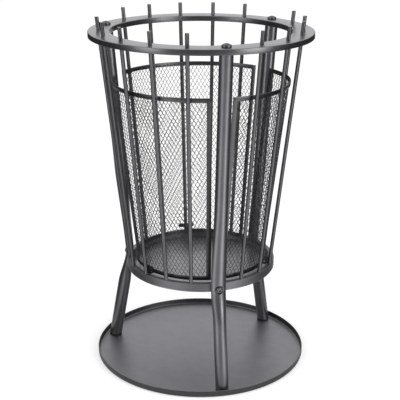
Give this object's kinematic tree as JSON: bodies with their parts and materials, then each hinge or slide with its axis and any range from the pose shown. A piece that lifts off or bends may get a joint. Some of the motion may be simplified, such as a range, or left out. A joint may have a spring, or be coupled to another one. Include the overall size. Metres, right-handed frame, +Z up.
{
  "type": "fire basket with spark screen",
  "caption": "Round flared fire basket of steel rods on bent tube legs, with lift-out curved spark screen panels and a loose dished ash tray below.",
  "frame": {"origin": "centre of the ash tray's underside, on the surface that the object stands on", "axes": "+Z up along the basket's axis, -Y towards the front leg, +X towards the right-hand screen"},
  "size_m": [0.4, 0.4, 0.645],
  "materials": {
    "powder_coat": "satin anthracite powder coat",
    "mesh_coat": "satin black coated expanded steel",
    "black_zinc": "black plated steel",
    "bright_zinc": "bright zinc plated steel",
    "foot_plastic": "moulded black plastic"
  },
  "bodies": {
    "tray": {"ash_tray": "powder_coat"},
    "basket": {"top_ring": "powder_coat", "base_ring": "powder_coat", "fire_floor": "powder_coat", "rod_01": "powder_coat", "rod_02": "powder_coat", "rod_03": "powder_coat", "rod_04": "powder_coat", "rod_05": "powder_coat", "rod_06": "powder_coat", "rod_07": "powder_coat", "rod_08": "powder_coat", "rod_09": "powder_coat", "rod_10": "powder_coat", "rod_11": "powder_coat", "rod_12": "powder_coat", "rod_13": "powder_coat", "rod_14": "powder_coat", "rod_15": "powder_coat", "leg_front": "powder_coat", "leg_rear_right": "powder_coat", "leg_rear_left": "powder_coat", "foot_cap_front": "foot_plastic", "foot_cap_rear_right": "foot_plastic", "foot_cap_rear_left": "foot_plastic", "tube_plug_front": "bright_zinc", "tube_plug_rear_right": "bright_zinc", "tube_plug_rear_left": "bright_zinc", "top_bolt_front": "black_zinc", "top_bolt_rear_right": "black_zinc", "top_bolt_rear_left": "black_zinc", "base_screw_front": "black_zinc", "base_screw_rear_right": "black_zinc", "base_screw_rear_left": "black_zinc", "base_nut_front": "bright_zinc", "base_nut_rear_right": "bright_zinc", "base_nut_rear_left": "bright_zinc", "screen_bracket_left": "powder_coat", "screen_bracket_right": "powder_coat", "screen_bracket_rear": "powder_coat"},
    "screen_left": {"screen_frame_left": "powder_coat", "screen_mesh_left": "mesh_coat"},
    "screen_right": {"screen_frame_right": "powder_coat", "screen_mesh_right": "mesh_coat"},
    "screen_rear": {"screen_frame_rear": "powder_coat", "screen_mesh_rear": "mesh_coat"}
  },
  "joints": [
    {"name": "basket_lift", "type": "slide", "parent": "tray", "child": "basket", "axis": [0, 0, 1], "range_m": [0, 0.1]},
    {"name": "screen_left_lift", "type": "slide", "parent": "basket", "child": "screen_left", "axis": [0, 0, 1], "range_m": [0, 0.44]},
    {"name": "screen_right_lift", "type": "slide", "parent": "basket", "child": "screen_right", "axis": [0, 0, 1], "range_m": [0, 0.44]},
    {"name": "screen_rear_lift", "type": "slide", "parent": "basket", "child": "screen_rear", "axis": [0, 0, 1], "range_m": [0, 0.44]}
  ]
}
